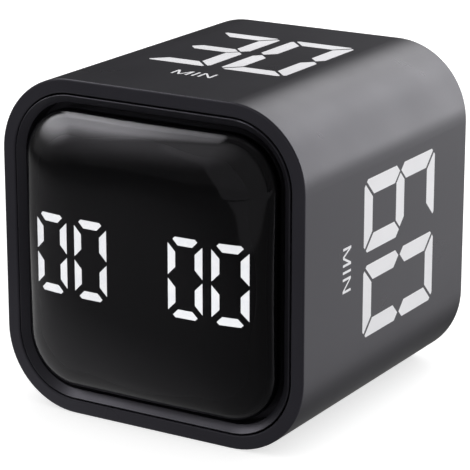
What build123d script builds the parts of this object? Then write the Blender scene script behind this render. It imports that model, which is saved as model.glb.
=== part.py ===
from build123d import *
import os
from math import sqrt

# A cube kitchen timer that starts the time printed on whichever side is turned up.
# Millimetres. +Z is up, the display faces -Y, and the origin is the middle of the bottom face.
# Depths are measured backwards from the front rim of the case.

# Two AAA cells side by side, with a sprung contact at one end of each
cell_diameter = 10.5
cell_length = 44.5
cell_nub_diameter = 3.8
cell_nub_length = 0.9
cell_end_round = 0.5
cell_gap = 0.4
contact_thickness = 0.4
contact_width = 8.0
contact_height = 8.4
spring_length = 5.9
spring_wire = 0.6
spring_turns = 4.5
spring_base_radius = 3.0
spring_cone_angle = -14.0
tail_width = 2.0
well_wall = 1.0
well_floor_thickness = 1.2
well_clearance = 0.9

# Case: a square sleeve with large corner rounds, wide enough for the cells across it
wall = 2.5
cube_width = cell_length + spring_length + 2 * (contact_thickness + well_wall + well_clearance + wall)
cube_depth = 59.2
corner_radius = 14.0
rim_round = 0.35
ledge_width = 1.3
ledge_thickness = 1.5
column_inset = 8.3
column_radius = 3.0
column_rib = 1.6

# Front bezel, snapped into the sleeve
seam = 0.25
bezel_land = 1.45
bezel_drop = 1.0
bezel_edge_round = 0.15
bezel_floor = 1.5
bezel_skirt = 2.35
groove_width = 0.95
groove_depth = 4.0
arm_width = 8.0
arm_thickness = 1.15
arm_gap = 0.15
barb_reach = 0.7
barb_length = 1.2

# Domed lens
lens_rise = 4.6
lens_crown = 2.4
lens_edge_round = 3.0
lens_corner_radius = 9.2
lens_wall = 0.9
glue_thickness = 0.25
crown_reach = 1.2
cut_margin = 1.0

# Display behind the lens
light_box_gap = 0.15
light_box_seat = 2.4
neck_gap = 0.2
guide_to_board = 1.0
digit_width = 6.65
digit_height = 14.0
digit_stroke = 1.45
digit_pitch = 8.305
digit_margin = 0.295
digit_bar_cut = 1.4
digit_bar_slit = 0.5
digit_post_cut = 1.15
digit_middle_slit = 0.3
digit_tip = 0.0
led_length = 1.6
led_width = 0.8
led_height = 0.65
board_thickness = 1.6
board_gap = 0.3
board_cover = 0.9
display_screw_inset_x = 6.1
display_screw_inset_z = 8.6
display_screw_length = 5.0

# Numerals inlaid in the four sides
inlay_depth = 0.3
side_flat = cube_width - 2 * corner_radius
numeral_width = 0.403 * side_flat
numeral_space = 0.072 * side_flat
numeral_height = 26.2
numeral_stroke = 3.0
numeral_cut = 1.2
numeral_slit = 0.4
numeral_middle_slit = 0.25
numeral_tip = 0.4
numeral_depth = 33.45
caption_depth = 13.1
caption_height = 2.8
caption_stroke = 0.45
letter_m_width = 3.3
letter_n_width = 2.6
letter_space = 0.8

# Rear cover with the battery well
cover_recess = 1.0
cover_thickness = 2.0
# Battery door, hung on two tongues along its upper edge
door_thickness = 1.2
door_seat_width = 0.9
door_gap = 0.2
door_overhang = 1.1
tongue_x = 16.0
tongue_width = 5.0
tongue_thickness = 0.6
tongue_reach = 1.2
tongue_gap = 0.1
finger_notch_radius = 4.0
grip_length = 14.0
grip_width = 1.0
grip_height = 0.3
grip_pitch = 2.0
grip_count = 3
grip_margin = 2.0

# Main board and what stands on it
board_post = 2.2
main_screw_x = 18.0
main_screw_z = 7.0
main_board_margin = 1.0
column_clearance = 0.8
switch_size = 6.0
switch_height = 3.4
plunger_radius = 1.6
plunger_rise = 0.9
plunger_sink = 0.8
plunger_gap = 0.25
buzzer_radius = 6.0
buzzer_height = 7.5
buzzer_x = 9.0
chip_size = 10.0
chip_height = 1.4
driver_share = 0.8
sensor_size = 5.0
sensor_height = 3.2
coil_radius = 3.0
coil_height = 3.2
capacitor_radius = 2.5
capacitor_height = 6.0
connector_width = 14.0
connector_length = 4.0
connector_height = 2.2
connector_z = -10.0
ribbon_width = 11.0
ribbon_thickness = 0.35
ribbon_drop = 8.0
ribbon_bend = 6.0

# Push buttons and sound switch on the rear cover
control_inset = 10.0
button_pitch = 10.4
button_radius = 4.0
button_gap = 0.25
button_rise = 0.7
button_round = 0.5
button_travel = 0.5
flange_width = 0.8
flange_thickness = 0.8
flange_gap = 0.1
stem_radius = 1.75
slider_x = -7.8
slider_travel = 2.0
knob_length = 5.0
knob_width = 3.2
knob_rise = 0.6
knob_gap = 0.3
slider_lap = 1.2
lever_length = 2.0
lever_width = 1.8
lever_sink = 1.2
lever_rise = 2.0
lever_gap = 0.3
slide_switch_wall = 1.2
slide_switch_height = 3.6
sound_hole_radius = 0.7
sound_hole_ring = 2.6

# Screws
screw_gap = 0.05
cover_screw_radius = 1.25
cover_screw_head = 2.3
cover_screw_length = 10.0
small_screw_radius = 1.0
small_screw_head = 1.9
small_screw_head_height = 1.2
small_screw_clearance = 0.15
small_screw_bite = 3.0
drive_width = 0.6
drive_depth = 0.6

# Places that follow from the sizes above
front_y = -cube_depth / 2
middle_z = cube_width / 2
inner_half = cube_width / 2 - wall
inner_radius = corner_radius - wall
bezel_half = inner_half - seam
bezel_radius = inner_radius - seam
mouth_half = bezel_half - bezel_land
mouth_radius = bezel_radius - bezel_land
lens_half = mouth_half - groove_width
cavity_half = lens_half - lens_wall
cavity_radius = lens_corner_radius - lens_wall
core_half = cavity_half - light_box_gap
core_radius = cavity_radius - light_box_gap
neck_half = core_half - light_box_seat
neck_radius = core_radius - light_box_seat
outer_digit_x = neck_half - digit_margin - digit_width / 2
inner_digit_x = outer_digit_x - digit_pitch
floor_back = groove_depth + bezel_floor
display_back = floor_back + board_thickness
bezel_back = display_back + board_cover
skirt_half = bezel_half - bezel_skirt
skirt_radius = bezel_radius - bezel_skirt
display_board_half = skirt_half - board_gap
display_board_radius = skirt_radius - board_gap
display_screw_x = display_board_half - display_screw_inset_x
display_screw_z = display_board_half - display_screw_inset_z
ledge_half = inner_half - ledge_width
ledge_back = bezel_back + ledge_thickness
column_at = cube_width / 2 - column_inset

cover_outer = cube_depth - cover_recess
cover_inner = cover_outer - cover_thickness
door_seat = cover_outer - door_thickness
cell_pitch = cell_diameter + cell_gap
well_half_z = cell_pitch / 2 + cell_diameter / 2 + cell_gap
well_half_x = (cell_length + spring_length) / 2 + contact_thickness
well_floor = cover_inner - cell_gap - cell_diameter
well_front = well_floor - well_floor_thickness
cell_axis = well_floor + cell_diameter / 2 + cell_gap / 2
cell_end = well_half_x - contact_thickness
hatch_half_x = well_half_x - door_overhang - door_seat_width
hatch_half_z = well_half_z
door_half_x = hatch_half_x + door_seat_width
door_half_z = hatch_half_z + door_seat_width

main_back = well_front - board_post
main_front = main_back - board_thickness
switch_top = main_back + switch_height
plunger_top = switch_top + plunger_rise
flange_back = cover_inner - flange_gap
slide_switch_top = main_back + slide_switch_height
lever_top = slide_switch_top + lever_rise
control_z = cube_width / 2 - control_inset
button_spots = [(-button_pitch, control_z), (0, control_z), (button_pitch, control_z)]
slider_spot = (slider_x, -control_z)
buzzer_spot = (buzzer_x, -control_z)


def facing_front(depth):
    """Plane at a depth, seen from the front: x to the right, y up, extruding forwards."""
    return Plane(origin=(0, front_y + depth, middle_z), x_dir=(1, 0, 0), z_dir=(0, -1, 0))


def facing_back(depth):
    """Plane at a depth, seen from behind: x to the right, y up, extruding backwards."""
    return Plane(origin=(0, front_y + depth, middle_z), x_dir=(-1, 0, 0), z_dir=(0, 1, 0))


def facing_side(normal):
    """Outer face of the case with its normal given in X and Z: y is the depth."""
    nx, nz = normal
    middle = (nx * cube_width / 2, front_y, middle_z + nz * cube_width / 2)
    return Plane(origin=middle, x_dir=(nz, 0, -nx), z_dir=(nx, 0, nz))


def rounded_prism(half, radius, depth, length, inner=None):
    """Square prism with round corners, or a square ring where inner gives (half, radius)."""
    with BuildPart() as prism:
        with BuildSketch(facing_back(depth)):
            RectangleRounded(2 * half, 2 * half, radius)
            if inner:
                RectangleRounded(2 * inner[0], 2 * inner[0], inner[1], mode=Mode.SUBTRACT)
        extrude(amount=length)
    return prism.part


def dome(half, radius, apex, back, edge_round):
    """Square prism with round corners under a crowned front that falls off with the fourth power."""
    reach = crown_reach * half
    fall = lens_crown * (reach / lens_half) ** 4
    knots = (-1.0, -0.5, 0.0, 0.5, 1.0)
    signs = (1, -1, 1, -1, 1)
    rows = []
    for u, u_sign in zip(knots, signs):
        row = []
        for v, v_sign in zip(knots, signs):
            crown_y = front_y + apex + fall * (u_sign + v_sign)
            row.append((u * reach, crown_y, middle_z + v * reach))
        rows.append(row)
    with BuildPart() as form:
        extrude(Face.make_bezier_surface(rows), amount=back - apex + 4 * fall, dir=(0, 1, 0))
        with BuildSketch(facing_front(back)):
            RectangleRounded(2 * half, 2 * half, radius)
        extrude(amount=back - apex + cut_margin, mode=Mode.INTERSECT)
        fillet(form.faces().sort_by(Axis.Y)[0].edges(), edge_round)
    return form.part


def without_repeats(points):
    """Outline with points that fall on their neighbour left out."""
    kept = []
    for point in points:
        if not kept or abs(point[0] - kept[-1][0]) + abs(point[1] - kept[-1][1]) > 1e-6:
            kept.append(point)
    return kept


def seven_segments(width, height, stroke, bar_cut, bar_slit, post_cut, post_slit, middle_slit, tip):
    """Outlines of the seven bars of a digit, by letter, about the digit's middle.

    A cut is the size of a corner's chamfer, a slit half the gap at a mitre, and tip the share
    of the stroke at which a post's inner end comes to its point.
    """
    a, b, s = width / 2, height / 2, stroke
    bar_end = [
        (a - bar_cut, b),
        (a - (bar_cut + bar_slit) / 2, b - (bar_cut - bar_slit) / 2),
        (a - s - bar_slit, b - s),
    ]
    bar = [(-x, y) for x, y in reversed(bar_end)] + bar_end
    post = [
        (a, b - post_cut),
        (a - (post_cut - post_slit) / 2, b - (post_cut + post_slit) / 2),
        (a - s, b - s - post_slit),
        (a - s, middle_slit + (1 - tip) * s),
        (a - tip * s, middle_slit),
        (a, middle_slit + tip * s),
    ]
    post = without_repeats(post)
    reach = a - tip * s - bar_slit
    middle = [(-reach, 0), (s / 2 - reach, s / 2), (reach - s / 2, s / 2)]
    middle += [(-x, -y) for x, y in middle]
    return {
        "a": bar,
        "b": post,
        "c": [(x, -y) for x, y in post],
        "d": [(x, -y) for x, y in bar],
        "e": [(-x, -y) for x, y in post],
        "f": [(-x, y) for x, y in post],
        "g": middle,
    }


digit_segments = {"0": "abcdef", "1": "bc", "3": "abcdg", "5": "acdfg", "6": "acdefg"}
numeral_outlines = seven_segments(
    numeral_width, numeral_height, numeral_stroke, numeral_cut, numeral_slit, numeral_cut,
    numeral_slit, numeral_middle_slit, numeral_tip
)
display_outlines = seven_segments(
    digit_width, digit_height, digit_stroke, digit_bar_cut, digit_bar_slit, digit_post_cut,
    digit_post_cut, digit_middle_slit, digit_tip
)
digit_spots = [(x, 0) for x in (-outer_digit_x, -inner_digit_x, inner_digit_x, outer_digit_x)]


def letter_stroke(foot, head):
    """Leaning stroke of a capital, from its foot on the base line to its head."""
    Polygon(
        (foot, caption_depth),
        (foot + caption_stroke, caption_depth),
        (head + caption_stroke, caption_depth + caption_height),
        (head, caption_depth + caption_height),
        align=None,
    )


def numeral(text, normal):
    """Two numerals and the unit MIN, inlaid flush in one side of the case."""
    pitch = numeral_width + numeral_space
    m_right = letter_m_width - caption_stroke
    n_right = letter_n_width - caption_stroke
    start = -(letter_m_width + letter_n_width + caption_stroke) / 2 - letter_space
    i_start = start + letter_m_width + letter_space
    n_start = i_start + caption_stroke + letter_space
    with BuildPart() as inlay:
        with BuildSketch(facing_side(normal)):
            for digit, x in zip(text, (-pitch / 2, pitch / 2)):
                with Locations((x, numeral_depth)):
                    for letter in digit_segments[digit]:
                        Polygon(*numeral_outlines[letter], align=None)
            letter_stroke(start, start)
            letter_stroke(start + m_right / 2, start)
            letter_stroke(start + m_right / 2, start + m_right)
            letter_stroke(start + m_right, start + m_right)
            letter_stroke(i_start, i_start)
            letter_stroke(n_start, n_start)
            letter_stroke(n_start + n_right, n_start)
            letter_stroke(n_start + n_right, n_start + n_right)
        extrude(amount=-inlay_depth)
    return inlay


def screw(plane, spots, radius, length, head_radius, head_height, countersunk=False):
    """Cross-headed screws whose shanks run against the plane's normal from under their heads."""
    with BuildPart() as screws:
        with BuildSketch(plane):
            with Locations(*spots):
                Circle(radius)
        extrude(amount=-length)
        if countersunk:
            with BuildSketch(plane):
                with Locations(*spots):
                    Circle(head_radius)
            extrude(amount=-(head_radius - radius), taper=45)
        else:
            with BuildSketch(plane):
                with Locations(*spots):
                    Circle(head_radius)
            extrude(amount=head_height)
        top = plane if countersunk else plane.offset(head_height)
        with BuildSketch(top):
            with Locations(*spots):
                Rectangle(2 * radius, drive_width)
                Rectangle(drive_width, 2 * radius)
        extrude(amount=-drive_depth, mode=Mode.SUBTRACT)
    return screws


def corners(x, z):
    """Four spots, mirrored about the middle of the case."""
    return [(-x, -z), (x, -z), (-x, z), (x, z)]


# Numerals: turning the case a quarter turn brings the next time to the top
numeral_top_30 = numeral("30", (0, 1))
numeral_right_60 = numeral("60", (1, 0))
numeral_bottom_05 = numeral("05", (0, -1))
numeral_left_15 = numeral("15", (-1, 0))

# Case sleeve, with a ledge for the bezel and four columns for the rear screws
with BuildPart() as case_sleeve:
    with BuildSketch(facing_back(0)):
        RectangleRounded(cube_width, cube_width, corner_radius)
        RectangleRounded(2 * inner_half, 2 * inner_half, inner_radius, mode=Mode.SUBTRACT)
    extrude(amount=cube_depth)
    rims = case_sleeve.edges().group_by(Axis.Y)
    fillet(rims[0] + rims[-1], rim_round)
    add(rounded_prism(inner_half, inner_radius, bezel_back, ledge_thickness,
                      inner=(ledge_half, inner_radius - ledge_width)))
    corner_reach = (inner_half - inner_radius) * sqrt(2) + inner_radius
    rib_start = column_at * sqrt(2)
    rib_end = corner_reach + wall / 2
    with BuildSketch(facing_back(ledge_back)):
        with Locations(*corners(column_at, column_at)):
            Circle(column_radius)
        with PolarLocations((rib_start + rib_end) / 2, 4, start_angle=45):
            Rectangle(rib_end - rib_start, column_rib)
    extrude(amount=cover_inner - ledge_back)
    with BuildSketch(facing_back(cover_inner)):
        with Locations(*corners(column_at, column_at)):
            Circle(cover_screw_radius + screw_gap)
    extrude(amount=-cover_screw_length, mode=Mode.SUBTRACT)
    for inlay in (numeral_top_30, numeral_right_60, numeral_bottom_05, numeral_left_15):
        add(inlay.part, mode=Mode.SUBTRACT)

# Front bezel: a sloped land, a dark groove round the lens, a floor under it and four snap arms
with BuildPart() as front_bezel:
    with BuildSketch(facing_back(0)):
        RectangleRounded(2 * bezel_half, 2 * bezel_half, bezel_radius)
    extrude(amount=bezel_back)
    fillet(front_bezel.edges().group_by(Axis.Y)[0], bezel_edge_round)
    with BuildSketch(facing_back(0)):
        land_half = bezel_half - bezel_edge_round
        RectangleRounded(2 * land_half, 2 * land_half, bezel_radius - bezel_edge_round)
    with BuildSketch(facing_back(bezel_drop)):
        RectangleRounded(2 * mouth_half, 2 * mouth_half, mouth_radius)
    loft(mode=Mode.SUBTRACT)
    with BuildSketch(facing_back(bezel_drop)):
        RectangleRounded(2 * mouth_half, 2 * mouth_half, mouth_radius)
    extrude(amount=groove_depth - bezel_drop, mode=Mode.SUBTRACT)
    add(rounded_prism(neck_half + neck_gap, neck_radius + neck_gap, groove_depth, bezel_floor),
        mode=Mode.SUBTRACT)
    add(rounded_prism(skirt_half, skirt_radius, floor_back, bezel_back - floor_back),
        mode=Mode.SUBTRACT)
    arm_outer = ledge_half - arm_gap
    with BuildSketch(facing_back(floor_back)):
        with PolarLocations(arm_outer - arm_thickness / 2, 4):
            Rectangle(arm_thickness, arm_width)
    extrude(amount=ledge_back + arm_gap + barb_length - floor_back)
    with BuildSketch(facing_back(ledge_back + arm_gap)):
        with PolarLocations(arm_outer + barb_reach / 2, 4):
            Rectangle(barb_reach, arm_width)
    extrude(amount=barb_length)

# Domed lens, a smoked shell glued to the bezel's floor
lens_back = groove_depth - glue_thickness
with BuildPart() as display_lens:
    add(dome(lens_half, lens_corner_radius, -lens_rise, lens_back, lens_edge_round))
    add(dome(cavity_half, cavity_radius, lens_wall - lens_rise, lens_back,
             lens_edge_round - lens_wall), mode=Mode.SUBTRACT)

with BuildPart() as lens_glue:
    add(rounded_prism(lens_half, lens_corner_radius, lens_back, glue_thickness,
                      inner=(cavity_half, cavity_radius)))

# Light box under the lens, with a slot for each light guide
core_apex = lens_wall + light_box_gap - lens_rise
guide_back = floor_back - guide_to_board
light_core = dome(core_half, core_radius, core_apex, groove_depth,
                  lens_edge_round - lens_wall - light_box_gap)


def light_guides(letters):
    """White light guides of the four digits, cut to the curve of the lens."""
    with BuildPart() as guides:
        with BuildSketch(facing_front(guide_back)):
            with Locations(*digit_spots):
                for letter in letters:
                    Polygon(*display_outlines[letter], align=None)
        extrude(amount=guide_back + lens_rise)
        add(guide_form, mode=Mode.INTERSECT)
    return guides


with BuildPart() as guide_body:
    add(light_core)
    add(rounded_prism(neck_half, neck_radius, groove_depth, bezel_floor))
guide_form = guide_body.part

lit_segments = light_guides("abcdef")
dark_segments = light_guides("g")

display_screw_spots = corners(display_screw_x, display_screw_z)
with BuildPart() as light_box:
    add(guide_form)
    with BuildSketch(facing_front(floor_back)):
        with Locations(*digit_spots):
            for outline in display_outlines.values():
                Polygon(*outline, align=None)
    extrude(amount=floor_back + lens_rise, mode=Mode.SUBTRACT)
    with BuildSketch(facing_front(floor_back)):
        with Locations(*display_screw_spots):
            Circle(small_screw_radius + screw_gap)
    extrude(amount=display_screw_length, mode=Mode.SUBTRACT)

# Display board with one light per segment, and its driver
with BuildPart() as display_board:
    with BuildSketch(facing_back(floor_back)):
        RectangleRounded(2 * display_board_half, 2 * display_board_half, display_board_radius)
        with Locations(*display_screw_spots):
            Circle(small_screw_radius + small_screw_clearance, mode=Mode.SUBTRACT)
    extrude(amount=board_thickness)

bar_z = (digit_height - digit_stroke) / 2
post_x = (digit_width - digit_stroke) / 2
with BuildPart() as segment_leds:
    with BuildSketch(facing_front(floor_back)):
        with Locations(*digit_spots):
            with Locations((0, -bar_z), (0, 0), (0, bar_z)):
                Rectangle(led_length, led_width)
            with Locations(*corners(post_x, digit_height / 4)):
                Rectangle(led_width, led_length)
    extrude(amount=led_height)

display_screws = screw(facing_back(display_back), [(-x, z) for x, z in display_screw_spots],
                       small_screw_radius, display_screw_length + board_thickness - drive_depth,
                       small_screw_head, small_screw_head_height)

driver_width = driver_share * chip_size
driver_spot = (0, -connector_z)
with BuildPart() as driver_chip:
    with BuildSketch(facing_back(display_back)):
        with Locations(driver_spot):
            Rectangle(driver_width, driver_width / 2)
    extrude(amount=chip_height)
    chamfer(driver_chip.edges().group_by(Axis.Y)[-1], chip_height / 6)

# Rear cover: a plate with the battery well moulded on, holes for the controls and a door seat
tongue_spots = [(-tongue_x, door_half_z), (tongue_x, door_half_z)]
slot_length = knob_length + 2 * slider_travel + 2 * knob_gap
slot_width = knob_width + 2 * knob_gap
main_screw_spots = corners(main_screw_x, main_screw_z)
tail_spots = [(cell_end, z) for z in (cell_pitch / 2, -cell_pitch / 2)]
with BuildPart() as rear_cover:
    with BuildSketch(facing_back(cover_inner)):
        RectangleRounded(2 * bezel_half, 2 * bezel_half, bezel_radius)
    extrude(amount=cover_thickness)
    with BuildSketch(facing_back(well_front)):
        Rectangle(2 * (well_half_x + well_wall), 2 * (well_half_z + well_wall))
    extrude(amount=cover_inner - well_front)
    with BuildSketch(facing_back(well_floor)):
        Rectangle(2 * well_half_x, 2 * well_half_z)
    extrude(amount=cover_inner - well_floor, mode=Mode.SUBTRACT)
    with BuildSketch(facing_back(cover_inner)):
        Rectangle(2 * hatch_half_x, 2 * hatch_half_z)
    extrude(amount=cover_thickness, mode=Mode.SUBTRACT)
    with BuildSketch(facing_back(door_seat)):
        Rectangle(2 * (door_half_x + door_gap), 2 * (door_half_z + door_gap))
        with Locations((0, -door_half_z - door_gap)):
            Circle(finger_notch_radius)
    extrude(amount=door_thickness, mode=Mode.SUBTRACT)
    notch_reach = tongue_reach + door_gap + door_seat_width
    with BuildSketch(facing_back(cover_inner)):
        with Locations(*[(x, hatch_half_z + notch_reach / 2) for x, _ in tongue_spots]):
            Rectangle(tongue_width + 2 * door_gap, notch_reach)
    extrude(amount=door_seat + tongue_thickness + tongue_gap - cover_inner, mode=Mode.SUBTRACT)
    with BuildSketch(facing_back(cover_inner)):
        with Locations(*button_spots):
            Circle(button_radius + button_gap)
        with Locations(slider_spot):
            Rectangle(slot_length, slot_width)
        with Locations(buzzer_spot):
            Circle(sound_hole_radius)
            with PolarLocations(sound_hole_ring, 6):
                Circle(sound_hole_radius)
    extrude(amount=cover_thickness, mode=Mode.SUBTRACT)
    with Locations(facing_back(cover_outer)):
        with Locations(*corners(column_at, column_at)):
            CounterSinkHole(cover_screw_radius + small_screw_clearance,
                            cover_screw_head + small_screw_clearance, cover_thickness, 90)
    with BuildSketch(facing_front(well_front)):
        with Locations(*main_screw_spots):
            Circle(small_screw_radius + well_wall)
    extrude(amount=board_post)
    with BuildSketch(facing_back(main_back)):
        with Locations(*main_screw_spots):
            Circle(small_screw_radius + screw_gap)
    extrude(amount=small_screw_bite, mode=Mode.SUBTRACT)
    with BuildSketch(facing_back(well_front)):
        with Locations(*[(x + contact_thickness / 2, z) for x, z in tail_spots]):
            Rectangle(contact_thickness, tail_width)
    extrude(amount=well_floor_thickness, mode=Mode.SUBTRACT)

cover_screws = screw(facing_back(cover_outer), corners(column_at, column_at), cover_screw_radius,
                     cover_screw_length + cover_thickness - drive_depth, cover_screw_head, 0,
                     countersunk=True)

# Battery door: a plate on two tongues, with grip ridges over the finger notch
with BuildPart() as battery_door:
    with BuildSketch(facing_back(door_seat)):
        Rectangle(2 * door_half_x, 2 * door_half_z)
    extrude(amount=door_thickness)
    with BuildSketch(facing_back(door_seat)):
        with Locations(*[(x, z + tongue_reach / 2) for x, z in tongue_spots]):
            Rectangle(tongue_width, tongue_reach)
    extrude(amount=tongue_thickness)
    with BuildSketch(facing_back(cover_outer)):
        for ridge in range(grip_count):
            with Locations((0, grip_margin + ridge * grip_pitch - door_half_z)):
                SlotOverall(grip_length, grip_width)
    extrude(amount=grip_height)

# Two cells lying head to tail across the well
cell_can_length = cell_length - cell_nub_length


def cell(side, z):
    """Cell with its nub against the contact on one side, 1 for the right seen from behind."""
    plane = Plane(origin=(-side * (cell_end - cell_length), front_y + cell_axis, middle_z + z),
                  x_dir=(0, 1, 0), z_dir=(-side, 0, 0))
    with BuildPart() as battery:
        with BuildSketch(plane):
            Circle(cell_diameter / 2)
        extrude(amount=cell_can_length)
        fillet(battery.edges().filter_by(GeomType.CIRCLE), cell_end_round)
        with BuildSketch(plane.offset(cell_can_length)):
            Circle(cell_nub_diameter / 2)
        extrude(amount=cell_nub_length)
    return battery


upper_cell = cell(-1, cell_pitch / 2)
lower_cell = cell(1, -cell_pitch / 2)

# Cell contacts: a bridge on the left seen from behind, two plates with solder tails on the right
with BuildPart() as contact_bridge:
    with BuildSketch(facing_back(cell_axis)):
        with Locations((-cell_end - contact_thickness / 2, 0)):
            Rectangle(contact_thickness, cell_pitch + contact_height)
    extrude(amount=contact_width / 2, both=True)

with BuildPart() as contact_plates:
    with BuildSketch(facing_back(cell_axis)):
        with Locations(*[(x + contact_thickness / 2, z) for x, z in tail_spots]):
            Rectangle(contact_thickness, contact_height)
    extrude(amount=contact_width / 2, both=True)
    with BuildSketch(facing_back(main_back)):
        with Locations(*[(x + contact_thickness / 2, z) for x, z in tail_spots]):
            Rectangle(contact_thickness, tail_width)
    extrude(amount=cell_axis - contact_width / 2 - main_back)


def contact_spring(side, z):
    """Conical spring between a contact and the flat end of a cell."""
    start = Vector(-side * (cell_end - spring_wire / 2), front_y + cell_axis, middle_z + z)
    inwards = Vector(side, 0, 0)
    height = spring_length - spring_wire
    with BuildPart() as spring:
        with BuildLine() as coil:
            Helix(height / spring_turns, height, spring_base_radius, center=start,
                  direction=inwards, cone_angle=spring_cone_angle)
        with BuildSketch(coil.line ^ 0):
            Circle(spring_wire / 2)
        sweep(is_frenet=True)
    return spring


with BuildPart() as contact_springs:
    add(contact_spring(1, cell_pitch / 2).part)
    add(contact_spring(-1, -cell_pitch / 2).part)

# Main board, screwed to posts on the front of the battery well
main_half = inner_half - main_board_margin
notch_start = column_at - column_radius - column_clearance
notch_size = main_half - notch_start
with BuildPart() as main_board:
    with BuildSketch(facing_back(main_front)):
        Rectangle(2 * main_half, 2 * main_half)
        with Locations(*corners(notch_start + notch_size / 2, notch_start + notch_size / 2)):
            Rectangle(notch_size, notch_size, mode=Mode.SUBTRACT)
        with Locations(*main_screw_spots):
            Circle(small_screw_radius + small_screw_clearance, mode=Mode.SUBTRACT)
    extrude(amount=board_thickness)

main_board_screws = screw(facing_front(main_front), main_screw_spots, small_screw_radius,
                          board_thickness + small_screw_bite - drive_depth, small_screw_head,
                          small_screw_head_height)

# Push buttons, each on the plunger of its switch
with BuildPart() as button_switches:
    with BuildSketch(facing_back(main_back)):
        with Locations(*button_spots):
            Rectangle(switch_size, switch_size)
    extrude(amount=switch_height)
    with BuildSketch(facing_back(switch_top)):
        with Locations(*button_spots):
            Circle(plunger_radius + plunger_gap)
    extrude(amount=-(plunger_sink + button_travel + plunger_gap), mode=Mode.SUBTRACT)


def plunger(spot):
    """Plunger of a push switch, standing out of the switch under a button's stem."""
    with BuildPart() as pin:
        with BuildSketch(facing_back(switch_top - plunger_sink)):
            with Locations(spot):
                Circle(plunger_radius)
        extrude(amount=plunger_sink + plunger_rise)
    return pin


def push_button(spot):
    """Round cap that stands out of the cover, with a flange and a stem behind it."""
    with BuildPart() as button:
        with BuildSketch(facing_back(flange_back)):
            with Locations(spot):
                Circle(button_radius)
        extrude(amount=flange_gap + cover_thickness + button_rise)
        fillet(button.edges().group_by(Axis.Y)[-1], button_round)
        with BuildSketch(facing_front(flange_back)):
            with Locations((-spot[0], spot[1])):
                Circle(button_radius + flange_width)
        extrude(amount=flange_thickness)
        with BuildSketch(facing_back(plunger_top)):
            with Locations(spot):
                Circle(stem_radius)
        extrude(amount=flange_back - flange_thickness - plunger_top)
    return button


minute_button, start_button, second_button = [push_button(spot) for spot in button_spots]
minute_plunger, start_plunger, second_plunger = [plunger(spot) for spot in button_spots]

# Sound switch with its sliding knob
with BuildPart() as sound_switch:
    lever_slot = lever_length + 2 * slider_travel + 2 * lever_gap
    with BuildSketch(facing_back(main_back)):
        with Locations(slider_spot):
            Rectangle(lever_slot + 2 * slide_switch_wall,
                      lever_width + 2 * lever_gap + 2 * slide_switch_wall)
    extrude(amount=slide_switch_height)
    with BuildSketch(facing_back(slide_switch_top)):
        with Locations(slider_spot):
            Rectangle(lever_slot, lever_width + 2 * lever_gap)
    extrude(amount=-(lever_sink + lever_gap), mode=Mode.SUBTRACT)

with BuildPart() as switch_lever:
    with BuildSketch(facing_back(slide_switch_top - lever_sink)):
        with Locations(slider_spot):
            Rectangle(lever_length, lever_width)
    extrude(amount=lever_sink + lever_rise)

with BuildPart() as sound_knob:
    with BuildSketch(facing_back(flange_back - flange_thickness)):
        with Locations(slider_spot):
            Rectangle(slot_length + 2 * slider_travel + 2 * slider_lap, slot_width + 2 * slider_lap)
    extrude(amount=flange_thickness)
    with BuildSketch(facing_back(flange_back)):
        with Locations(slider_spot):
            RectangleRounded(knob_length, knob_width, knob_width / 4)
    extrude(amount=flange_gap + cover_thickness + knob_rise)
    with BuildSketch(facing_back(lever_top)):
        with Locations(slider_spot):
            Rectangle(lever_length, knob_width)
    extrude(amount=flange_back - flange_thickness - lever_top)

# Buzzer behind the sound holes
with BuildPart() as buzzer:
    with BuildSketch(facing_back(main_back)):
        with Locations(buzzer_spot):
            Circle(buzzer_radius)
    extrude(amount=buzzer_height)
    fillet(buzzer.edges().group_by(Axis.Y)[-1], button_round)
    with BuildSketch(facing_back(main_back + buzzer_height)):
        with Locations(buzzer_spot):
            Circle(2 * sound_hole_radius)
    extrude(amount=-buzzer_height / 2, mode=Mode.SUBTRACT)

# Parts on the front of the main board
with BuildPart() as controller_chip:
    with BuildSketch(facing_front(main_front)):
        with Locations((0, chip_size / 2)):
            Rectangle(chip_size, chip_size)
    extrude(amount=chip_height)
    chamfer(controller_chip.edges().group_by(Axis.Y)[0], chip_height / 6)

with BuildPart() as motion_sensor:
    with BuildSketch(facing_front(main_front)):
        with Locations((0, control_z)):
            Rectangle(sensor_size, sensor_size)
    extrude(amount=sensor_height)
    chamfer(motion_sensor.edges().group_by(Axis.Y)[0], sensor_height / 8)

with BuildPart() as boost_coil:
    with BuildSketch(facing_front(main_front)):
        with Locations((-chip_size, control_z)):
            Circle(coil_radius)
    extrude(amount=coil_height)
    chamfer(boost_coil.edges().group_by(Axis.Y)[0], coil_height / 6)

with BuildPart() as capacitors:
    with BuildSketch(facing_front(main_front)):
        with Locations((chip_size, control_z), (chip_size, -control_z)):
            Circle(capacitor_radius)
    extrude(amount=capacitor_height)
    fillet(capacitors.edges().group_by(Axis.Y)[0], capacitor_radius / 8)

# Ribbon cable between the two boards, in a connector on each
with BuildPart() as display_connector:
    with BuildSketch(facing_back(display_back)):
        with Locations((0, connector_z)):
            Rectangle(connector_width, connector_length)
    extrude(amount=connector_height)

with BuildPart() as main_connector:
    with BuildSketch(facing_front(main_front)):
        with Locations((0, connector_z)):
            Rectangle(connector_width, connector_length)
    extrude(amount=connector_height)

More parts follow.
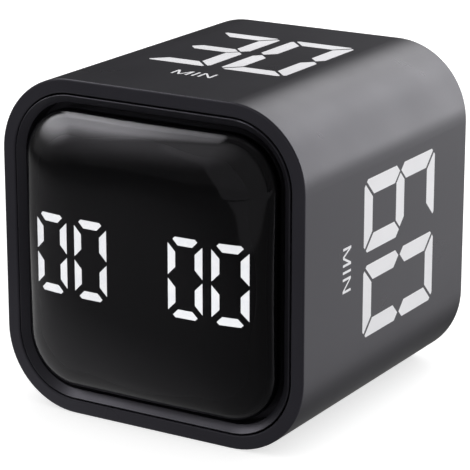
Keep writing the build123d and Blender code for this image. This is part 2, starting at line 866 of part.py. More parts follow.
ribbon_top = middle_z + connector_z - connector_length / 2
ribbon_front = front_y + display_back + connector_height / 2
ribbon_back = front_y + main_front - connector_height / 2
with BuildPart() as ribbon_cable:
    with BuildLine() as ribbon_route:
        FilletPolyline(
            (0, ribbon_front, ribbon_top),
            (0, ribbon_front, ribbon_top - ribbon_drop),
            (0, ribbon_back, ribbon_top - ribbon_drop),
            (0, ribbon_back, ribbon_top),
            radius=ribbon_bend,
        )
    with BuildSketch(Plane(origin=(0, ribbon_front, ribbon_top), x_dir=(1, 0, 0), z_dir=(0, 0, -1))):
        Rectangle(ribbon_width, ribbon_thickness)
    sweep(path=ribbon_route.line)

pieces = {
    "case_sleeve": case_sleeve,
    "front_bezel": front_bezel,
    "display_lens": display_lens,
    "lens_glue": lens_glue,
    "light_box": light_box,
    "lit_segments": lit_segments,
    "dark_segments": dark_segments,
    "display_board": display_board,
    "segment_leds": segment_leds,
    "driver_chip": driver_chip,
    "display_screws": display_screws,
    "display_connector": display_connector,
    "ribbon_cable": ribbon_cable,
    "main_connector": main_connector,
    "main_board": main_board,
    "main_board_screws": main_board_screws,
    "controller_chip": controller_chip,
    "motion_sensor": motion_sensor,
    "boost_coil": boost_coil,
    "capacitors": capacitors,
    "buzzer": buzzer,
    "button_switches": button_switches,
    "minute_plunger": minute_plunger,
    "start_plunger": start_plunger,
    "second_plunger": second_plunger,
    "minute_button": minute_button,
    "start_button": start_button,
    "second_button": second_button,
    "sound_switch": sound_switch,
    "switch_lever": switch_lever,
    "sound_knob": sound_knob,
    "rear_cover": rear_cover,
    "cover_screws": cover_screws,
    "battery_door": battery_door,
    "upper_cell": upper_cell,
    "lower_cell": lower_cell,
    "contact_bridge": contact_bridge,
    "contact_plates": contact_plates,
    "contact_springs": contact_springs,
    "numeral_top_30": numeral_top_30,
    "numeral_right_60": numeral_right_60,
    "numeral_bottom_05": numeral_bottom_05,
    "numeral_left_15": numeral_left_15,
}

os.makedirs("parts", exist_ok=True)
for name, piece in pieces.items():
    piece.part.label = name
    export_step(piece.part, f"parts/{name}.step")
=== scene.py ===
"""Dresses the cube kitchen timer: its finishes, its printed and moulded marks, and the white studio round it."""
import math

import bmesh
import bpy
from mathutils import Matrix, Vector


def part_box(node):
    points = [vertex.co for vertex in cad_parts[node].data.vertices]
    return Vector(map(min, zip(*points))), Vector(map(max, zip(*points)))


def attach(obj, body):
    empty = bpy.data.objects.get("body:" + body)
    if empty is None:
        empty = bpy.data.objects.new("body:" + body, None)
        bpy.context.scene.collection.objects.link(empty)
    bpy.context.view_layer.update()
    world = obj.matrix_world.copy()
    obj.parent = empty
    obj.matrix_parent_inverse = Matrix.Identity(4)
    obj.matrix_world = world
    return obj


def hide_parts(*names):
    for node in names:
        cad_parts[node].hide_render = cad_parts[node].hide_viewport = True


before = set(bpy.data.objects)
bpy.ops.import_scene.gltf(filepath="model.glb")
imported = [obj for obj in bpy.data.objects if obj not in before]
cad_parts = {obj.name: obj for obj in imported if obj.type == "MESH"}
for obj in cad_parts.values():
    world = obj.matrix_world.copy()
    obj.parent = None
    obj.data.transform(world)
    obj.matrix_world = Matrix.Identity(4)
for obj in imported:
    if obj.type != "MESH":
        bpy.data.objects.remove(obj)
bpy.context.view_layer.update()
mm = 0.001

# Camera
camera_azimuth = math.radians(31.267)
camera_elevation = math.radians(16.747)
camera_distance = 0.41909
camera_target = Vector((-1.304, 0.4, 27.213)) * mm
camera_lens = 178.70

# Studio light
ambient = 0.80
glossy_surroundings = 0.065
softbox_corners = 3
softbox_aim = Vector((0, 0, 30 * mm))
floor_half_size = 2.5
floor_drop = 0.05 * mm
floor_glow = 0.66
floor_colour = (0.62, 0.62, 0.62, 1.0)

# What gloss sees of the floor, a painted reflection that only gloss sees: pools of painted light by their middle,
# their reach and their level, a bright sheet to the right by the edges where it starts and the way over which it
# grows, and a faint sheet in front, turned a little, by its side, its near edge and its far end
floor_dim = 0.09
floor_pools = [
    ((-61 * mm, 10 * mm), (112 * mm, 95 * mm), 0.71),
    ((-188 * mm, 62 * mm), (279 * mm, 420 * mm), 0.28),
]
pool_fade = (250 * mm, 700 * mm)
sheet_side = (29 * mm, 50 * mm)
sheet_front = (-45 * mm, -10 * mm)
sheet_far = (220 * mm, 550 * mm)
sheet_level = (0.78, 2.3)
front_turn = math.radians(19.2)
front_side = (76 * mm, 90 * mm)
front_near = (-165 * mm, -190 * mm)
front_end = (-488 * mm, -472 * mm)
front_level = 0.14

# Domed lens
lens_corner_radius = 9.2 * mm
lens_corner_steps = 24
lens_shell = 0.5 * mm
lens_rim_sink = 0.5 * mm
lens_rings = 30
lens_side_cuts = 15
flush_gap = 1e-7

# Finishes: the usual range of grain, and the slow changes of a moulding
grain_low, grain_high = 0.3, 0.7
mould_flow = 14 * mm
drawn_line_depth = 0.002 * mm
display_glow = 4.3

# Cells: where the positive and negative ends lie, and the shares of the length where the jacket changes
cell_negative_end = -19.3 * mm
cell_positive_end = 25.2 * mm
jacket_start, jacket_end = 0.012, 0.965
first_line, green_start = 0.10, 0.115
second_line, second_band = 0.72, 0.735

# Signs on the back
cover_back = 28.6 * mm
letter_weld = 1e-5
mark_root = 0.1 * mm
print_height = 0.03 * mm
letter_height = 2.6 * mm
sound_sign_rise = 3.4 * mm
start_arrow_x = -0.9 * mm
start_arrow_radius = 1.25 * mm
pause_bar_places = (0.75 * mm, 1.55 * mm)
pause_bar_size = (0.45 * mm, 2.1 * mm)
sound_dot_x = -2 * mm
sound_dot_radius = 0.3 * mm
sound_dot_corners = 24
sound_bars = ((0, 1.0 * mm), (1.5 * mm, 0.6 * mm), (2.0 * mm, 1.0 * mm), (2.5 * mm, 1.4 * mm))
sound_bar_width = 0.3 * mm
sound_bar_drop = 0.3 * mm
door_arrow_z = 27.5 * mm
door_arrow_radius = 1.5 * mm
ridge_places = (-1.1 * mm, 0, 1.1 * mm)
ridge_size = (0.45 * mm, 2.3 * mm)
ridge_height = 0.25 * mm
ridge_soft_edge = 0.1 * mm


# ---------------------------------------------------------------- finishes

def start_finish(name, roughness=0.5, metallic=0.0):
    """A new finish: its material, its shader, and the place on the piece that its patterns read."""
    finish = bpy.data.materials.new(name)
    finish.use_nodes = True
    shader = finish.node_tree.nodes["Principled BSDF"]
    shader.inputs["Roughness"].default_value = roughness
    shader.inputs["Metallic"].default_value = metallic
    place = finish.node_tree.nodes.new("ShaderNodeTexCoord").outputs["Object"]
    return finish, shader, place


def grain(place, size, detail=2.0):
    """Cloudy grain whose spots are about the given size across."""
    tree = place.id_data
    noise = tree.nodes.new("ShaderNodeTexNoise")
    noise.inputs["Scale"].default_value = 1 / size
    noise.inputs["Detail"].default_value = detail
    tree.links.new(place, noise.inputs["Vector"])
    return noise.outputs["Fac"]


def stretched(place, scale):
    """The same place, drawn out along some directions, for brushed and drawn metal."""
    tree = place.id_data
    mapping = tree.nodes.new("ShaderNodeMapping")
    mapping.inputs["Scale"].default_value = scale
    tree.links.new(place, mapping.inputs["Vector"])
    return mapping.outputs["Vector"]


def spread(value, low, high):
    """Turns grain into a range of numbers."""
    tree = value.id_data
    span = tree.nodes.new("ShaderNodeMapRange")
    span.inputs["From Min"].default_value = grain_low
    span.inputs["From Max"].default_value = grain_high
    span.inputs["To Min"].default_value = low
    span.inputs["To Max"].default_value = high
    tree.links.new(value, span.inputs["Value"])
    return span.outputs["Result"]


def tinted(value, stops, interpolation="LINEAR"):
    """Turns a value into colour, by stops of position and colour."""
    tree = value.id_data
    ramp = tree.nodes.new("ShaderNodeValToRGB")
    ramp.color_ramp.interpolation = interpolation
    elements = ramp.color_ramp.elements
    while len(elements) < len(stops):
        elements.new(0.5)
    for element, (position, colour) in zip(elements, stops):
        element.position = position
        element.color = (*colour, 1.0)
    tree.links.new(value, ramp.inputs["Fac"])
    return ramp.outputs["Color"]


def shaded(value, dark, light):
    """Turns grain into shades between a dark and a light colour."""
    return tinted(value, [(grain_low, dark), (grain_high, light)])


def drive(shader, socket, value):
    """Links a changing value to one of the shader's sockets."""
    shader.id_data.links.new(value, shader.inputs[socket])


def raise_grain(shader, height, depth):
    """Presses grain into the surface, to the given depth."""
    tree = shader.id_data
    bump = tree.nodes.new("ShaderNodeBump")
    bump.inputs["Distance"].default_value = depth
    tree.links.new(height, bump.inputs["Height"])
    tree.links.new(bump.outputs["Normal"], shader.inputs["Normal"])


def moulded_finish(name, dark, light, smooth, rough, grain_size=0.22 * mm, grain_depth=0.004 * mm,
                   gloss_tint=(1.0, 1.0, 1.0)):
    """Moulded plastic: a fine etched grain, with slow changes of shade and sheen from the mould."""
    finish, shader, place = start_finish(name)
    shader.inputs["Specular Tint"].default_value = (*gloss_tint, 1.0)
    flow = grain(place, mould_flow, 3.0)
    fine = grain(place, grain_size)
    drive(shader, "Base Color", shaded(flow, dark, light))
    drive(shader, "Roughness", spread(flow, smooth, rough))
    raise_grain(shader, fine, grain_depth)
    return finish


def metal_finish(name, dark, light, smooth, rough, drawn=(1.0, 1.0, 1.0), grain_size=0.8 * mm):
    """Plated or drawn metal, with fine lines along the way that it was drawn."""
    finish, shader, place = start_finish(name, metallic=1.0)
    lines = grain(stretched(place, drawn), grain_size, 3.0)
    drive(shader, "Base Color", shaded(lines, dark, light))
    drive(shader, "Roughness", spread(lines, smooth, rough))
    raise_grain(shader, lines, drawn_line_depth)
    return finish


def smoked_lens_finish():
    """Clear acrylic with a grey smoke in it, polished, with the faintest moulding waves."""
    finish, shader, place = start_finish("smoked_acrylic", roughness=0.03)
    shader.inputs["IOR"].default_value = 1.49
    shader.inputs["Specular Tint"].default_value = (0.95, 0.93, 1.0, 1.0)
    shader.inputs["Transmission Weight"].default_value = 1.0
    waves = grain(place, 25 * mm, 1.0)
    drive(shader, "Base Color", shaded(waves, (0.20, 0.20, 0.205), (0.23, 0.23, 0.235)))
    return finish


def lit_segment_finish():
    """Diffusing plastic lit from behind, its glow a little brighter and dimmer in a fine random cloud."""
    finish, shader, place = start_finish("lit_diffuser")
    cloud = grain(place, 2.0 * mm, 1.0)
    glow = shaded(cloud, (0.93, 0.94, 0.96), (1.0, 1.0, 1.0))
    drive(shader, "Base Color", glow)
    drive(shader, "Emission Color", glow)
    shader.inputs["Emission Strength"].default_value = display_glow
    return finish


def circuit_board_finish():
    """Green solder mask over copper tracks, which show as lighter green lines."""
    finish, shader, place = start_finish("solder_mask")
    tree = place.id_data
    turned = tree.nodes.new("ShaderNodeMapping")
    turned.inputs["Rotation"].default_value = (math.radians(90), 0, 0)
    tree.links.new(place, turned.inputs["Vector"])
    tracks = tree.nodes.new("ShaderNodeTexBrick")
    tracks.inputs["Scale"].default_value = 1 / (6 * mm)
    tracks.inputs["Mortar Size"].default_value = 0.04
    tracks.inputs["Color1"].default_value = (0.010, 0.085, 0.030, 1.0)
    tracks.inputs["Color2"].default_value = (0.013, 0.100, 0.036, 1.0)
    tracks.inputs["Mortar"].default_value = (0.045, 0.200, 0.070, 1.0)
    tree.links.new(turned.outputs["Vector"], tracks.inputs["Vector"])
    drive(shader, "Base Color", tracks.outputs["Color"])
    drive(shader, "Roughness", spread(grain(place, 3 * mm), 0.28, 0.42))
    raise_grain(shader, tracks.outputs["Fac"], 0.02 * mm)
    return finish


def cell_finish(name, towards):
    """A cell's printed jacket with bare metal ends. The positive end lies towards the given side of X."""
    finish, shader, place = start_finish(name)
    tree = place.id_data
    axes = tree.nodes.new("ShaderNodeSeparateXYZ")
    tree.links.new(place, axes.inputs["Vector"])
    along = tree.nodes.new("ShaderNodeMapRange")
    along.inputs["From Min"].default_value = cell_negative_end * towards
    along.inputs["From Max"].default_value = cell_positive_end * towards
    tree.links.new(axes.outputs["X"], along.inputs["Value"])
    length = along.outputs["Result"]
    steel = (0.62, 0.61, 0.58)
    jacket = (0.10, 0.30, 0.14)
    band = (0.45, 0.46, 0.45)
    line = (0.02, 0.07, 0.03)
    drive(shader, "Base Color", tinted(length, [
        (0.0, steel), (jacket_start, band), (first_line, line), (green_start, jacket),
        (second_line, line), (second_band, band), (jacket_end, steel),
    ], "CONSTANT"))
    drive(shader, "Metallic", tinted(length, [
        (0.0, (1, 1, 1)), (jacket_start, (0.25, 0.25, 0.25)), (jacket_end, (1, 1, 1)),
    ], "CONSTANT"))
    drive(shader, "Roughness", spread(grain(place, 2 * mm), 0.22, 0.34))
    return finish


violet_gloss = (0.90, 0.87, 1.0)
finishes = {
    "case_plastic": moulded_finish("satin_case", (0.0190, 0.0182, 0.0230), (0.0220, 0.0211, 0.0265), 0.27, 0.33,
                                   gloss_tint=violet_gloss),
    "bezel_plastic": moulded_finish("bezel_black", (0.0140, 0.0134, 0.0168), (0.0165, 0.0159, 0.0198), 0.34, 0.40,
                                    gloss_tint=violet_gloss),
    "cover_plastic": moulded_finish("etched_cover", (0.017, 0.0168, 0.0178), (0.024, 0.0238, 0.0250), 0.42, 0.50,
                                    0.45 * mm, 0.035 * mm),
    "smoked_lens": smoked_lens_finish(),
    "lens_glue": moulded_finish("black_adhesive", (0.006, 0.006, 0.006), (0.010, 0.010, 0.010), 0.5, 0.7, 0.5 * mm),
    "black_plastic": moulded_finish("matt_black", (0.004, 0.004, 0.004), (0.006, 0.006, 0.006), 0.55, 0.7),
    "lit_segment": lit_segment_finish(),
    "dark_segment": moulded_finish("unlit_diffuser", (0.004, 0.004, 0.004), (0.006, 0.006, 0.006), 0.55, 0.7),
    "circuit_board": circuit_board_finish(),
    "led_package": moulded_finish("light_package", (0.70, 0.66, 0.45), (0.82, 0.80, 0.70), 0.3, 0.4, 0.1 * mm),
    "ferrite": moulded_finish("ferrite_grey", (0.028, 0.027, 0.027), (0.045, 0.043, 0.042), 0.6, 0.75, 0.3 * mm,
                              0.02 * mm),
    "capacitor_can": metal_finish("can_aluminium", (0.55, 0.56, 0.58), (0.68, 0.69, 0.70), 0.25, 0.35),
    "connector_plastic": moulded_finish("ivory_nylon", (0.62, 0.58, 0.47), (0.72, 0.68, 0.57), 0.4, 0.5),
    "ribbon_film": moulded_finish("ribbon_white", (0.55, 0.56, 0.57), (0.66, 0.67, 0.68), 0.35, 0.45, 1.0 * mm),
    "screw_steel": metal_finish("blackened_steel", (0.30, 0.30, 0.31), (0.40, 0.40, 0.41), 0.28, 0.42),
    "switch_steel": metal_finish("stamped_steel", (0.50, 0.50, 0.51), (0.63, 0.63, 0.63), 0.25, 0.38,
                                 (4.0, 1.0, 1.0)),
    "plunger_plastic": moulded_finish("grey_acetal", (0.50, 0.50, 0.51), (0.58, 0.58, 0.59), 0.4, 0.5),
    "button_plastic": moulded_finish("soft_button", (0.038, 0.038, 0.040), (0.048, 0.048, 0.050), 0.48, 0.58,
                                     0.18 * mm, 0.006 * mm),
    "knob_plastic": moulded_finish("knob_grey", (0.25, 0.25, 0.26), (0.31, 0.31, 0.32), 0.42, 0.52),
    "contact_nickel": metal_finish("bright_nickel", (0.60, 0.57, 0.50), (0.72, 0.69, 0.62), 0.18, 0.30,
                                   (5.0, 1.0, 1.0)),
    "numeral_white": moulded_finish("numeral_ink", (0.84, 0.835, 0.86), (0.89, 0.885, 0.91), 0.38, 0.48, 0.15 * mm,
                                    0.003 * mm),
    "cell_jacket": cell_finish("upper_cell_jacket", 1),
}

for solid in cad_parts.values():
    holder = solid.material_slots[0]
    holder.material = finishes[holder.material.name]
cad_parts["lower_cell"].material_slots[0].material = cell_finish("lower_cell_jacket", -1)


# ---------------------------------------------------------------- pieces

def place_piece(bm, name, body, slot):
    """Makes a mesh object of a shape, riding on its body and with the finish of its slot."""
    mesh = bpy.data.meshes.new(name)
    bm.to_mesh(mesh)
    bm.free()
    mesh.materials.append(finishes[slot])
    piece = bpy.data.objects.new(name, mesh)
    bpy.context.collection.objects.link(piece)
    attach(piece, body)
    return piece


def domed_lens():
    """The lens as one smooth shell: square with round corners at its rim, and rounder towards its top."""
    low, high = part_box("display_lens")
    half = (high.x - low.x) / 2
    middle_z = (high.z + low.z) / 2
    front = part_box("case_sleeve")[0].y
    rim = front + lens_rim_sink
    rise = rim - low.y

    bm = bmesh.new()
    bmesh.ops.create_grid(bm, x_segments=1, y_segments=1, size=half)
    bmesh.ops.bevel(bm, geom=list(bm.verts), affect="VERTICES", offset=lens_corner_radius,
                    segments=lens_corner_steps, profile=0.5, material=-1)
    sides = [edge for edge in bm.edges if edge.calc_length() > half]
    bmesh.ops.subdivide_edges(bm, edges=sides, cuts=lens_side_cuts)
    upright = Matrix.Rotation(math.radians(90), 4, "X")
    bmesh.ops.transform(bm, matrix=Matrix.Translation((0, high.y, middle_z)) @ upright, verts=bm.verts)
    face = bm.faces[:][0]
    base = [Vector((vert.co.x, 0, vert.co.z - middle_z)) for vert in face.verts]
    heights = [(1.0, high.y), (1.0, rim)]
    for ring in range(1, lens_rings):
        turn = math.radians(90) * ring / lens_rings
        heights.append((math.sqrt(math.cos(turn)), rim - rise * math.sin(turn)))
    for share, y in heights[1:]:
        grown = bmesh.ops.extrude_discrete_faces(bm, faces=[face])
        face = grown["faces"][0]
        for vert, start in zip(face.verts, base):
            square = share * start
            circle = share * half * start.normalized()
            blend = share ** 3
            vert.co = square * blend + circle * (1 - blend) + Vector((0, y, middle_z))
    bmesh.ops.poke(bm, faces=[face])
    back = [f for f in bm.faces if all(abs(v.co.y - high.y) < flush_gap for v in f.verts)]
    bmesh.ops.delete(bm, geom=back, context="FACES_ONLY")
    bmesh.ops.recalc_face_normals(bm, faces=bm.faces)
    bmesh.ops.solidify(bm, geom=list(bm.faces), thickness=lens_shell)
    bmesh.ops.recalc_face_normals(bm, faces=bm.faces)
    piece = place_piece(bm, "smoked_dome", "case", "smoked_lens")
    piece.data.shade_smooth()
    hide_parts("display_lens")
    return piece


def letter_sheet(letter, height):
    """A flat sheet in the shape of a letter, its middle at the origin."""
    text = bpy.data.curves.new(letter, "FONT")
    text.body = letter
    holder = bpy.data.objects.new(letter, text)
    mesh = bpy.data.meshes.new_from_object(holder)
    bm = bmesh.new()
    bm.from_mesh(mesh)
    bpy.data.objects.remove(holder)
    bpy.data.curves.remove(text)
    bpy.data.meshes.remove(mesh)
    bmesh.ops.remove_doubles(bm, verts=bm.verts, dist=letter_weld)
    across = [vert.co.x for vert in bm.verts]
    up = [vert.co.y for vert in bm.verts]
    middle = Vector((min(across) + max(across), min(up) + max(up), 0)) / 2
    bmesh.ops.translate(bm, verts=bm.verts, vec=-middle)
    bmesh.ops.scale(bm, verts=bm.verts, vec=[height / (max(up) - min(up))] * 3)
    return bm


def add_bar(bm, x, y, width, height):
    """Adds a flat bar to a sheet, by its middle and its size."""
    bmesh.ops.create_grid(bm, x_segments=1, y_segments=1, size=0.5, matrix=(
        Matrix.Translation((x, y, 0)) @ Matrix.Diagonal((width, height, 1, 1))))


def add_triangle(bm, x, y, radius, turn):
    """Adds a flat triangle to a sheet. It points to the right, turned by an angle."""
    to_the_right = Matrix.Rotation(math.radians(-90), 4, "Z")
    bmesh.ops.create_circle(bm, cap_ends=True, segments=3, radius=radius, matrix=(
        Matrix.Translation((x, y, 0)) @ Matrix.Rotation(turn, 4, "Z") @ to_the_right))


def start_sheet():
    """The sign for start and pause: a triangle and two bars."""
    bm = bmesh.new()
    add_triangle(bm, start_arrow_x, 0, start_arrow_radius, 0)
    for x in pause_bar_places:
        add_bar(bm, x, 0, *pause_bar_size)
    return bm


def sound_sheet():
    """One sign for each place of the sound knob: a dot for off, one bar for low, three rising bars for loud."""
    bm = bmesh.new()
    bmesh.ops.create_circle(bm, cap_ends=True, segments=sound_dot_corners, radius=sound_dot_radius,
                            matrix=Matrix.Translation((sound_dot_x, 0, 0)))
    for x, height in sound_bars:
        add_bar(bm, x, height / 2 - sound_bar_drop, sound_bar_width, height)
    return bm


def door_arrow_sheet():
    """An arrow head that points down to the finger notch."""
    bm = bmesh.new()
    add_triangle(bm, 0, 0, door_arrow_radius, math.radians(-90))
    return bm


def knob_ridge_sheet():
    """Three ridges across the knob, for a finger nail."""
    bm = bmesh.new()
    for x in ridge_places:
        add_bar(bm, x, 0, *ridge_size)
    return bm


def set_on_back(sheet, name, body, slot, x, z, face, height, soft_edge=0.0):
    """Thickens a flat sheet and sets it on a face that looks backwards, so that it stands a little proud of it."""
    grown = bmesh.ops.extrude_face_region(sheet, geom=list(sheet.faces))
    raised = [part for part in grown["geom"] if isinstance(part, bmesh.types.BMVert)]
    bmesh.ops.translate(sheet, verts=raised, vec=(0, 0, mark_root + height))
    if soft_edge:
        rims = [edge for edge in sheet.edges if all(vert.co.z > mark_root for vert in edge.verts)]
        bmesh.ops.bevel(sheet, geom=rims, affect="EDGES", offset=soft_edge, segments=2, profile=0.5, material=-1)
    facing_back = Matrix(((-1, 0, 0, 0), (0, 0, 1, 0), (0, 1, 0, 0), (0, 0, 0, 1)))
    bmesh.ops.transform(sheet, verts=sheet.verts, matrix=Matrix.Translation((x, face - mark_root, z)) @ facing_back)
    bmesh.ops.recalc_face_normals(sheet, faces=sheet.faces)
    place_piece(sheet, name, body, slot)


def middle_and_back(node):
    """The middle of a node's box, and how far back the box reaches."""
    low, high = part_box(node)
    return (low + high) / 2, high.y


dome = domed_lens()
for button, sheet in (("minute_button", letter_sheet("M", letter_height)), ("start_button", start_sheet()),
                      ("second_button", letter_sheet("S", letter_height))):
    middle, back = middle_and_back(button)
    set_on_back(sheet, button + "_sign", button, "numeral_white", middle.x, middle.z, back, print_height)
middle, back = middle_and_back("sound_knob")
set_on_back(sound_sheet(), "sound_signs", "case", "numeral_white", middle.x, middle.z + sound_sign_rise,
            cover_back, print_height)
set_on_back(knob_ridge_sheet(), "knob_ridges", "sound_knob", "knob_plastic", middle.x, middle.z, back,
            ridge_height, ridge_soft_edge)
set_on_back(door_arrow_sheet(), "door_arrow", "battery_door", "numeral_white", 0, door_arrow_z, cover_back,
            print_height)


# ---------------------------------------------------------------- studio

def fading(value, span, levels=(0, 1)):
    """Goes smoothly from one level to another as a value crosses a span."""
    tree = value.id_data
    fade = tree.nodes.new("ShaderNodeMapRange")
    fade.interpolation_type = "SMOOTHSTEP"
    fade.inputs["From Min"].default_value, fade.inputs["From Max"].default_value = span
    fade.inputs["To Min"].default_value, fade.inputs["To Max"].default_value = levels
    tree.links.new(value, fade.inputs["Value"])
    return fade.outputs["Result"]


def combined(first, second, operation):
    """The result of a sum on two values."""
    tree = first.id_data
    result = tree.nodes.new("ShaderNodeMath")
    result.operation = operation
    tree.links.new(first, result.inputs[0])
    tree.links.new(second, result.inputs[1])
    return result.outputs["Value"]


def added(first, second):
    return combined(first, second, "ADD")


def multiplied(first, second):
    return combined(first, second, "MULTIPLY")


def powered(value, exponent):
    """A value to the power of a number."""
    tree = value.id_data
    power = tree.nodes.new("ShaderNodeMath")
    power.operation = "POWER"
    power.inputs[1].default_value = exponent
    tree.links.new(value, power.inputs[0])
    return power.outputs["Value"]


def distance(place):
    """How far a place lies from the middle."""
    tree = place.id_data
    length = tree.nodes.new("ShaderNodeVectorMath")
    length.operation = "LENGTH"
    tree.links.new(place, length.inputs[0])
    return length.outputs["Value"]


def direction(azimuth, elevation):
    """The way out from the middle: azimuth 0 is the front and 90 degrees the right side."""
    return Vector((
        math.sin(azimuth) * math.cos(elevation),
        -math.cos(azimuth) * math.cos(elevation),
        math.sin(elevation),
    ))


def set_camera():
    """A long lens at a little distance, a bit above the cube and to its right."""
    back = direction(camera_azimuth, camera_elevation)
    optics = bpy.data.cameras.new("studio_camera")
    optics.lens = camera_lens
    camera = bpy.data.objects.new("studio_camera", optics)
    camera.location = camera_target + back * camera_distance
    camera.rotation_euler = back.to_track_quat("Z", "Y").to_euler()
    bpy.context.collection.objects.link(camera)
    bpy.context.scene.camera = camera


def add_softbox(name, azimuth, elevation, distance_away, width, height, radiance, soft, roll=0.0,
                matt=True, gloss=True, onto=()):
    """A softbox with round corners that faces the middle of the cube and fades out over a share of its half size.

    It lights matt surfaces, shows in gloss, or both, on every piece or only on the given ones."""
    away = direction(math.radians(azimuth), math.radians(elevation))
    lamp = bpy.data.lights.new(name, "AREA")
    lamp.shape = "RECTANGLE"
    lamp.size = width
    lamp.size_y = height
    lamp.energy = math.pi * width * height * radiance
    lamp.use_nodes = True
    tree = lamp.node_tree
    spot = tree.nodes.new("ShaderNodeSeparateXYZ")
    tree.links.new(tree.nodes.new("ShaderNodeNewGeometry").outputs["Parametric"], spot.inputs["Vector"])
    powers = []
    for axis in ("X", "Y"):
        outwards = tree.nodes.new("ShaderNodeMapRange")
        outwards.inputs["To Min"].default_value = -1.0
        tree.links.new(spot.outputs[axis], outwards.inputs["Value"])
        either_way = tree.nodes.new("ShaderNodeMath")
        either_way.operation = "ABSOLUTE"
        tree.links.new(outwards.outputs["Result"], either_way.inputs[0])
        powers.append(powered(either_way.outputs["Value"], softbox_corners))
    out = powered(added(*powers), 1 / softbox_corners)
    tree.links.new(fading(out, (1, 1 - soft)), tree.nodes["Emission"].inputs["Strength"])
    softbox = bpy.data.objects.new(name, lamp)
    softbox.location = softbox_aim + away * distance_away
    turn = away.to_track_quat("Z", "Y").to_matrix() @ Matrix.Rotation(math.radians(roll), 3, "Z")
    softbox.rotation_euler = turn.to_euler()
    softbox.visible_camera = False
    softbox.visible_diffuse = matt
    softbox.visible_glossy = gloss
    bpy.context.collection.objects.link(softbox)
    if onto:
        lit = bpy.data.collections.new(name + "_lit")
        for piece in onto:
            lit.objects.link(piece)
        softbox.light_linking.receiver_collection = lit


def light_world():
    """Even light from all round, which the camera and the lens see as white and gloss sees as a dim room."""
    world = bpy.data.worlds.new("studio_world")
    bpy.context.scene.world = world
    world.use_nodes = True
    tree = world.node_tree
    background = tree.nodes["Background"]
    background.inputs["Color"].default_value = (1.0, 1.0, 1.0, 1.0)
    rays = tree.nodes.new("ShaderNodeLightPath")
    level = None
    for ray, amount in (("Is Camera Ray", 1 - ambient), ("Is Transmission Ray", 1 - ambient),
                        ("Is Glossy Ray", glossy_surroundings - ambient)):
        share = tree.nodes.new("ShaderNodeMath")
        share.operation = "MULTIPLY_ADD"
        share.inputs[1].default_value = amount
        share.inputs[2].default_value = ambient
        tree.links.new(rays.outputs[ray], share.inputs[0])
        if level:
            tree.links.new(level, share.inputs[2])
        level = share.outputs["Value"]
    tree.links.new(level, background.inputs["Strength"])


def level_in_gloss(spot):
    """How bright a spot of the floor shows in gloss, a painted reflection: pools of light near the cube, two
    sheets, and a dim rest.
    """
    tree = spot.id_data
    pools = None
    for middle, reach, level in floor_pools:
        about = tree.nodes.new("ShaderNodeMapping")
        about.vector_type = "TEXTURE"
        about.inputs["Location"].default_value = (*middle, 0)
        about.inputs["Scale"].default_value = (*reach, 1)
        tree.links.new(spot, about.inputs["Vector"])
        pool = fading(distance(about.outputs["Vector"]), (1, 0), (0, level))
        pools = added(pools, pool) if pools else pool
    away = distance(spot)
    near = multiplied(pools, fading(away, pool_fade, (1, 0)))

    axes = tree.nodes.new("ShaderNodeSeparateXYZ")
    tree.links.new(spot, axes.inputs["Vector"])
    across, along = axes.outputs["X"], axes.outputs["Y"]
    sheet = multiplied(fading(across, sheet_side), fading(along, sheet_front))
    sheet = multiplied(sheet, fading(away, sheet_far, sheet_level))

    turned = tree.nodes.new("ShaderNodeMapping")
    turned.inputs["Rotation"].default_value = (0, 0, front_turn)
    tree.links.new(spot, turned.inputs["Vector"])
    beside = tree.nodes.new("ShaderNodeSeparateXYZ")
    tree.links.new(turned.outputs["Vector"], beside.inputs["Vector"])
    front = multiplied(fading(along, front_near), fading(along, front_end, (0, front_level)))
    front = multiplied(front, fading(beside.outputs["X"], front_side))

    rest = fading(away, pool_fade, (floor_dim, glossy_surroundings))
    return added(added(near, sheet), added(front, rest))


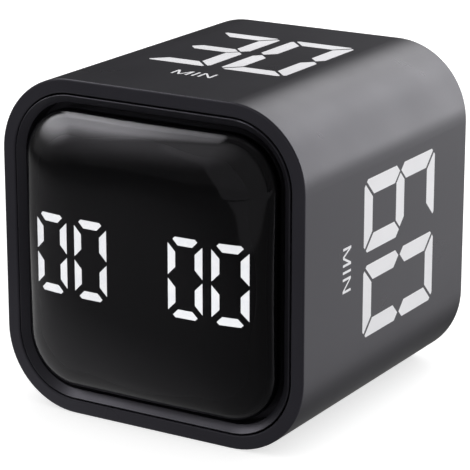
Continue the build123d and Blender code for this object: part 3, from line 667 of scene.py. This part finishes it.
def lay_floor():
    """A pale floor that keeps the soft shadow, shows a painted reflection of pools of light in gloss, and is clear
    from below.
    """
    bm = bmesh.new()
    bmesh.ops.create_grid(bm, x_segments=1, y_segments=1, size=floor_half_size)
    bmesh.ops.translate(bm, verts=bm.verts, vec=(0, 0, -floor_drop))
    mesh = bpy.data.meshes.new("pale_floor")
    bm.to_mesh(mesh)
    bm.free()
    floor = bpy.data.objects.new("pale_floor", mesh)
    bpy.context.collection.objects.link(floor)

    finish = bpy.data.materials.new("pale_floor")
    finish.use_nodes = True
    tree = finish.node_tree
    tree.nodes.remove(tree.nodes["Principled BSDF"])
    paint = tree.nodes.new("ShaderNodeBsdfDiffuse")
    paint.inputs["Color"].default_value = floor_colour
    glow = tree.nodes.new("ShaderNodeEmission")
    rays = tree.nodes.new("ShaderNodeLightPath")
    seen = tree.nodes.new("ShaderNodeMath")
    seen.operation = "ADD"
    tree.links.new(rays.outputs["Is Camera Ray"], seen.inputs[0])
    tree.links.new(rays.outputs["Is Transmission Ray"], seen.inputs[1])
    level = tree.nodes.new("ShaderNodeMath")
    level.operation = "MULTIPLY"
    level.inputs[1].default_value = floor_glow
    tree.links.new(seen.outputs["Value"], level.inputs[0])
    tree.links.new(level.outputs["Value"], glow.inputs["Strength"])
    lit = tree.nodes.new("ShaderNodeAddShader")
    tree.links.new(paint.outputs["BSDF"], lit.inputs[0])
    tree.links.new(glow.outputs["Emission"], lit.inputs[1])

    # Painted reflection: glow that only gloss sees, laid over the floor as pools and sheets of light that no lamp
    # casts there
    sheen = tree.nodes.new("ShaderNodeEmission")
    spot = tree.nodes.new("ShaderNodeTexCoord").outputs["Object"]
    tree.links.new(level_in_gloss(spot), sheen.inputs["Strength"])
    in_gloss = tree.nodes.new("ShaderNodeMixShader")
    tree.links.new(rays.outputs["Is Glossy Ray"], in_gloss.inputs["Fac"])
    tree.links.new(lit.outputs["Shader"], in_gloss.inputs[1])
    tree.links.new(sheen.outputs["Emission"], in_gloss.inputs[2])

    side = tree.nodes.new("ShaderNodeNewGeometry")
    clear = tree.nodes.new("ShaderNodeBsdfTransparent")
    either = tree.nodes.new("ShaderNodeMixShader")
    tree.links.new(side.outputs["Backfacing"], either.inputs["Fac"])
    tree.links.new(in_gloss.outputs["Shader"], either.inputs[1])
    tree.links.new(clear.outputs["BSDF"], either.inputs[2])
    tree.links.new(either.outputs["Shader"], tree.nodes["Material Output"].inputs["Surface"])
    mesh.materials.append(finish)


bpy.context.scene.view_settings.view_transform = "Standard"
set_camera()
light_world()
lay_floor()
add_softbox("rear_softbox", azimuth=153.5, elevation=12, distance_away=1.0, width=0.74, height=1.38,
            radiance=4.2, soft=0.95, roll=-24)
add_softbox("rear_upper_softbox", azimuth=179, elevation=34, distance_away=1.0, width=1.22, height=0.66,
            radiance=3.3, soft=0.95)
add_softbox("overhead_softbox", azimuth=0, elevation=90, distance_away=1.0, width=1.2, height=1.2,
            radiance=0.40, soft=0.35, gloss=False)
add_softbox("left_softbox", azimuth=-56.7, elevation=30.2, distance_away=0.5, width=0.375, height=0.534,
            radiance=4.5, soft=0.61, roll=-10.8, matt=False, onto=(dome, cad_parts["front_bezel"]))
add_softbox("upper_softbox", azimuth=-89.1, elevation=53.0, distance_away=0.5, width=0.657, height=0.227,
            radiance=3.46, soft=0.785, roll=12.7, matt=False)
add_softbox("left_card", azimuth=-46.3, elevation=21.4, distance_away=0.5, width=0.967, height=0.437,
            radiance=0.74, soft=0.99, roll=22, matt=False)
add_softbox("front_card", azimuth=9.5, elevation=3.5, distance_away=0.5, width=0.402, height=1.189,
            radiance=0.15, soft=0.064, roll=39, matt=False)
